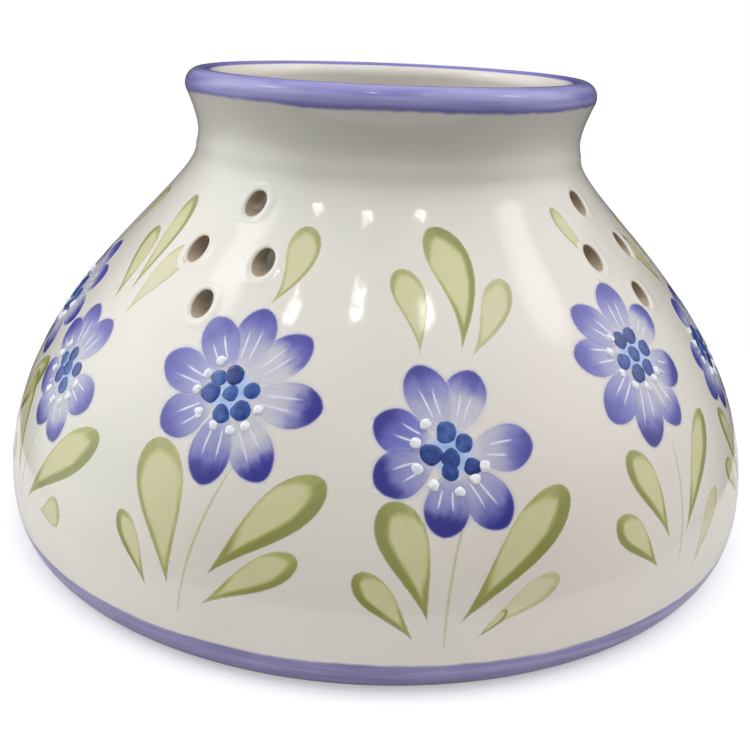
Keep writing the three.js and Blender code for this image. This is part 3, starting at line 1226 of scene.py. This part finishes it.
def dot_spots():
    """A white dot in every direction given, with a smaller one run into it."""
    for plant in plants:
        origin = middle_of(plant)
        for direction in plant.dots:
            spot = compass(direction, between(5.5, 6.2))
            yield origin, spot, between(0.72, 0.95)
            beside = compass(direction + 60, between(0.3, 0.5))
            yield origin, spot + beside, between(0.45, 0.65)


# ---- Paint materials -----------------------------------------------------------------------


def stroke_values(recipe):
    """The two attributes of a stroke's points, each in its three parts."""
    splits = [recipe.part(recipe.attribute(name, vector=True), 0) for name in ("stroke", "tint")]
    return [split.other(axis) for split in splits for axis in range(3)]


def streaks(recipe, along, across, seed, along_scale, across_scale):
    """A brush's streaks, drawn out along the stroke, from -0.5 to 0.5."""
    inputs = {"X": along * along_scale, "Y": across * across_scale, "Z": seed * 40.0}
    place = recipe.node("CombineXYZ", None, inputs)
    return recipe.noise(place, 1.0, detail=3.0, roughness=0.6) - 0.5


def mottle(recipe, scale, detail=2.0):
    """Uneven spots of a size given per metre, from -0.5 to 0.5."""
    return recipe.noise(recipe.place(), scale, detail) - 0.5


def glazed(recipe, colour, alpha):
    """Ends a paint film's material: paint of this colour and cover, under the clear glaze."""
    return recipe.finish(
        Base_Color=colour, Alpha=alpha, Roughness=GLAZE_ROUGHNESS, IOR=GLAZE_IOR,
        Normal=glaze_ripple(recipe),
    )


def petal_paint():
    """Violet that darkens towards the tip and thins towards the root, with a pale line round it."""
    recipe = Recipe("violet petal paint")
    along, across, edge, deep, pale, seed = stroke_values(recipe)
    brushed = streaks(recipe, along, across, seed, 1.8, 0.9)
    wet = along + brushed * 0.22 + mottle(recipe, 300.0) * 0.30
    colour = recipe.ramp(
        wet,
        [
            (0.05, srgb(168, 170, 210)), (0.28, srgb(134, 137, 202)), (0.50, srgb(112, 115, 194)),
            (0.75, srgb(98, 99, 184)), (0.98, srgb(86, 85, 174)),
        ],
    )
    inner = wet.smooth(0.84, 0.34)
    colour = recipe.mix(colour, srgb(208, 208, 222), inner * pale)
    outer = (wet + deep * 0.25 - edge * 0.03).smooth(0.78, 1.08)
    colour = recipe.mix(colour, srgb(44, 43, 138), outer * (deep * 0.97))
    colour = recipe.mix(colour, srgb(102, 100, 190), edge.smooth(0.5, 0.0) * 0.35)
    colour = recipe.mix(colour, srgb(186, 194, 232), edge.smooth(0.12, -0.2))
    core = (edge + mottle(recipe, 1500.0, 1.0) * 0.14).smooth(-0.10, 0.30)
    halo = edge.smooth(-0.75, 0.05) * 0.30
    root = along.smooth(-0.05, 0.30)
    film = 1.0 - inner * (pale * 0.55)
    return glazed(recipe, colour, (core + halo * (1.0 - core)) * (root * film))


def leaf_paint():
    """Sage green, lighter in the leaf's middle."""
    recipe = Recipe("sage leaf paint")
    along, across, edge, shade, strength, seed = stroke_values(recipe)
    brushed = streaks(recipe, along, across, seed, 1.6, 1.4)
    tone = shade + brushed * 0.42 + mottle(recipe, 260.0) * 0.30
    colour = recipe.ramp(
        tone,
        [
            (0.00, srgb(210, 208, 154)), (0.18, srgb(200, 199, 137)), (0.40, srgb(182, 184, 117)),
            (0.62, srgb(162, 163, 98)), (0.92, srgb(145, 147, 82)),
        ],
    )
    core = (edge + mottle(recipe, 1500.0, 1.0) * 0.14).smooth(-0.12, 0.26)
    body = tone.smooth(-0.10, 0.45) * 0.16 + 0.84
    thin = (strength.smooth(0.2, 0.9) * 0.40 + 0.60) * body
    return glazed(recipe, colour, core * thin)


def white_paint():
    """A thin haze where the first tint is 0, and a firm white line where it is 1."""
    recipe = Recipe("white wash and line paint")
    along, across, edge, line, strength, seed = stroke_values(recipe)
    brushed = streaks(recipe, along, across, seed, 2.5, 1.2)
    wash = recipe.ramp(brushed + 0.5, [(0.3, srgb(192, 193, 208)), (0.7, srgb(206, 206, 218))])
    colour = recipe.mix(wash, srgb(226, 228, 246), line)
    soft_edge = (edge + mottle(recipe, 260.0, 3.0) * 1.6).smooth(-0.6, 2.2)
    haze = soft_edge * (brushed * 0.7 + 0.72) * along.smooth(1.15, 0.70)
    drawn = edge.smooth(-0.12, 0.13) * along.smooth(-0.02, 0.22) * along.smooth(1.05, 0.65)
    drawn = drawn * (brushed * 0.7 + 0.90)
    return glazed(recipe, colour, (haze * (1.0 - line) * 0.85 + drawn * line) * strength)


def centre_paint():
    """Pale blue, thinner and lighter in spots."""
    recipe = Recipe("pale blue centre wash")
    _, _, edge, _, strength, _ = stroke_values(recipe)
    blot = mottle(recipe, 420.0, 3.0)
    tone = blot + edge * 0.10 + 0.25
    colour = recipe.ramp(tone, [(0.20, srgb(196, 210, 242)), (0.62, srgb(150, 184, 232))])
    return glazed(recipe, colour, (edge + blot * 1.8).smooth(-0.5, 1.7) * strength)


def dab_paint():
    """Cobalt, with a tone of its own for every dab."""
    recipe = Recipe("cobalt dab paint")
    spots = recipe.noise(recipe.place(), 900.0, detail=3.0)
    colour = recipe.ramp(
        spots * 0.8 + recipe.attribute("tone") * 0.3 - 0.05,
        [
            (0.25, srgb(14, 36, 112)), (0.45, srgb(26, 60, 140)), (0.62, srgb(44, 84, 160)),
            (0.80, srgb(66, 108, 180)),
        ],
    )
    bumps = bumped(recipe, spots, strength=0.6, distance=0.06 * MM)
    return recipe.finish(Base_Color=colour, Roughness=0.09, IOR=GLAZE_IOR, Normal=bumps)


def enamel():
    """White enamel, a little less glossy than the glaze."""
    recipe = Recipe("white enamel")
    lumps = recipe.noise(recipe.place(), 1400.0)
    colour = recipe.ramp(lumps, [(0.35, srgb(226, 232, 246)), (0.65, srgb(250, 251, 253))])
    bumps = bumped(recipe, lumps, strength=0.5, distance=0.08 * MM)
    return recipe.finish(Base_Color=colour, Roughness=0.22, IOR=1.5, Normal=bumps)


leaf_material, petal_material, white_material = leaf_paint(), petal_paint(), white_paint()
painted = []
for plant in plants:
    painted.append((paint_leaves(plant, leaf_material), "sage_leaf_paint"))
    painted.append((paint_petals(plant, petal_material), "violet_petal_paint"))
    painted.append((paint_white(plant, white_material), "white_enamel"))
painted.append((paint_centres(centre_paint()), "cobalt_centre_paint"))

DAB = {"Flatness": 0.11, "Lump Size": 420.0, "Lump Depth": 0.60, "Level": 1.0, "Seed": 3.0}
DOT = {"Flatness": 0.42, "Lump Size": 1000.0, "Lump Depth": 0.75, "Level": 0.3, "Seed": 5.0}
drops = drop_tree()
dabs = lay_drops(drops, "cobalt_dabs", dab_spots(), {**DAB, "Material": dab_paint()})
dots = lay_drops(drops, "white_enamel_dots", dot_spots(), {**DOT, "Material": enamel()})
painted += [(dabs, "cobalt_centre_paint"), (dots, "white_enamel")]
for piece, slot in painted:
    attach(piece, "root")

# ---- Camera, lamps and floor ---------------------------------------------------------------

CAMERA_PLACE = (0, -2.25 * HEIGHT, 1.123 * HEIGHT)
CAMERA_PITCH = math.radians(18.4)
CAMERA_ROLL = math.radians(2.3)


def turned_to(right, up, back, place):
    """The matrix of an object with these directions as its own, standing at a place."""
    matrix = np.eye(4)
    matrix[:3] = np.stack([right, up, back, place], axis=1)
    return Matrix(matrix.tolist())


def add_camera():
    """A camera in front of the pot and above it, looking down a little."""
    data = bpy.data.cameras.new("camera")
    data.sensor_width = 36.0
    data.lens = 46.66
    data.shift_x = -0.0081
    data.shift_y = -0.0505
    data.clip_start = 0.005
    forward = np.array([0.0, math.cos(CAMERA_PITCH), -math.sin(CAMERA_PITCH)])
    level = np.array([1.0, 0.0, 0.0])
    upright = np.cross(level, forward)
    right = level * math.cos(CAMERA_ROLL) + upright * math.sin(CAMERA_ROLL)
    up = upright * math.cos(CAMERA_ROLL) - level * math.sin(CAMERA_ROLL)
    camera = new_object("camera", data)
    camera.matrix_world = turned_to(right, up, -forward, CAMERA_PLACE)
    bpy.context.scene.camera = camera


LAMP_DISTANCE = 1.5
LAMP_SIZE = (0.10, 0.11)
LAMP_POWER = 0.22
LAMP_AIM = 0.6 * HEIGHT  # the height that the lamps face
DIODES = 4  # rows of small lights behind a lamp's face


def towards(azimuth, elevation):
    """The unit vector of a direction given in degrees, with azimuth 0 at the front."""
    a, e = math.radians(azimuth), math.radians(elevation)
    return (math.sin(a) * math.cos(e), -math.cos(a) * math.cos(e), math.sin(e))


def add_lamp(name, azimuth, elevation):
    """A small lamp of many diodes that faces the pot from a direction given in degrees."""
    data = bpy.data.lights.new(name, "AREA")
    data.shape = "RECTANGLE"
    data.size, data.size_y = LAMP_SIZE
    data.energy = LAMP_POWER
    recipe = Recipe(name + " diodes", data)
    face = recipe.node("NewGeometry", output=5)  # the place on the lamp's face
    settings = {"feature": "F1", "voronoi_dimensions": "2D"}
    spots = recipe.node("TexVoronoi", settings, {"Vector": face, "Scale": DIODES, "Randomness": 0.9})
    glow = recipe.node("Emission", None, {"Strength": spots.smooth(0.38, 0.22) * 5.0})
    recipe.node("OutputLight", None, {"Surface": glow})
    back = np.array(towards(azimuth, elevation))
    right = np.cross([0, 0, 1], back)
    right /= np.linalg.norm(right)
    place = back * LAMP_DISTANCE + np.array([0, 0, LAMP_AIM])
    lamp = new_object(name, data)
    lamp.matrix_world = turned_to(right, np.cross(back, right), back, place)


FLOOR_SHEET = 0.17  # radius
BOUNCE_CARD = 0.12  # radius
FLOOR_DROP = 0.05 * MM  # how far the sheet lies below the foot's face
CARD_DROP = 0.5 * MM


def round_sheet(name, radius, height, material):
    """A flat ring that faces up, with its inner edge just under the foot."""
    skin = Skin()
    radii = np.linspace(FOOT_RADIUS - 0.5 * MM, radius, 24)
    turns = np.linspace(0, TURN, 96, endpoint=False)
    numbers = skin.add(around(radii[:, None], turns, height))
    skin.quads(closed_ring(numbers[::-1]))
    sheet = make_piece(name, skin, np.tile([0.0, 0.0, 1.0], (skin.count, 1)), material)
    return sheet


def grey(share):
    return (share, share, share, 1)


def add_floor():
    """A pale floor round the pot, and a bounce card for its light.

    The floor fades out into the white surroundings. The camera sees only the floor, and only the card
    throws light back onto the pot.
    """
    recipe = Recipe("pale sheet")
    place = recipe.place()
    material = recipe.finish(
        Base_Color=recipe.ramp(recipe.noise(place, 3.0), [(0.0, grey(0.88)), (1.0, grey(0.92))]),
        Alpha=(recipe.length(place) / FLOOR_SHEET).smooth(0.98, 0.60), Roughness=0.9,
        Emission_Color=(1, 1, 1, 1), Emission_Strength=0.3,
    )
    floor = round_sheet("pale_floor", FLOOR_SHEET, -FLOOR_DROP, material)
    floor.visible_diffuse = False
    floor.visible_glossy = False
    floor.visible_shadow = False

    recipe = Recipe("bounce card")
    shade = recipe.ramp(recipe.noise(recipe.place(), 3.0), [(0.0, grey(0.72)), (1.0, grey(0.76))])
    card = round_sheet("bounce_card", BOUNCE_CARD, -CARD_DROP, recipe.finish(Base_Color=shade, Roughness=0.9))
    card.visible_camera = False


SOFTBOXES = (  # azimuth and elevation, the angles where it starts to fade and ends, then brightness
    (-90, 15, 3, 48, 1.5),
    (-90, 50, 3, 48, 0.85),
    (-92, 47, 2, 9, 2.6),
    (90, 15, 3, 48, 0.7),
    (90, 50, 3, 48, 1.15),
    (92, 47, 2, 9, 2.6),
    (45, 50, 3, 48, 0.3),
    (0, 30, 3, 48, 0.55),
    (0, 90, 3, 48, 0.2),
    (-140, 50, 3, 48, 0.4),
    (140, 50, 3, 48, 0.3),
)
FILL = 0.02  # brightness of the surroundings where no softbox reaches
GROUND = 0.05  # what is added to it below the table's level


def set_surroundings():
    """A studio with broad soft lights at both sides, and little light from the front.

    The camera itself sees plain white behind the pot.
    """
    world = bpy.data.worlds.new("studio")
    bpy.context.scene.world = world
    recipe = Recipe("studio", world)
    direction = recipe.node("TexCoord", output=0)
    light = recipe.part(direction, 2).smooth(0.05, -0.20) * GROUND + FILL
    for azimuth, elevation, core, edge, brightness in SOFTBOXES:
        inputs = {0: direction, 1: towards(azimuth, elevation)}
        facing = recipe.node("VectorMath", {"operation": "DOT_PRODUCT"}, inputs, output=1)
        fade = [math.cos(math.radians(angle)) for angle in (edge, core)]
        light = facing.smooth(*fade) * brightness + light
    seen = recipe.node("LightPath", output=0)
    strength = light * (1.0 - seen) + seen
    background = recipe.node("Background", None, {"Color": (1, 1, 1, 1), "Strength": strength})
    recipe.node("OutputWorld", None, {"Surface": background})


add_camera()
add_floor()
set_surroundings()
add_lamp("lamp_left", -55.5, 58.5)
add_lamp("lamp_middle", -17.5, 67.0)
add_lamp("lamp_right", 30.0, 64.5)
bpy.context.scene.view_settings.view_transform = "Standard"
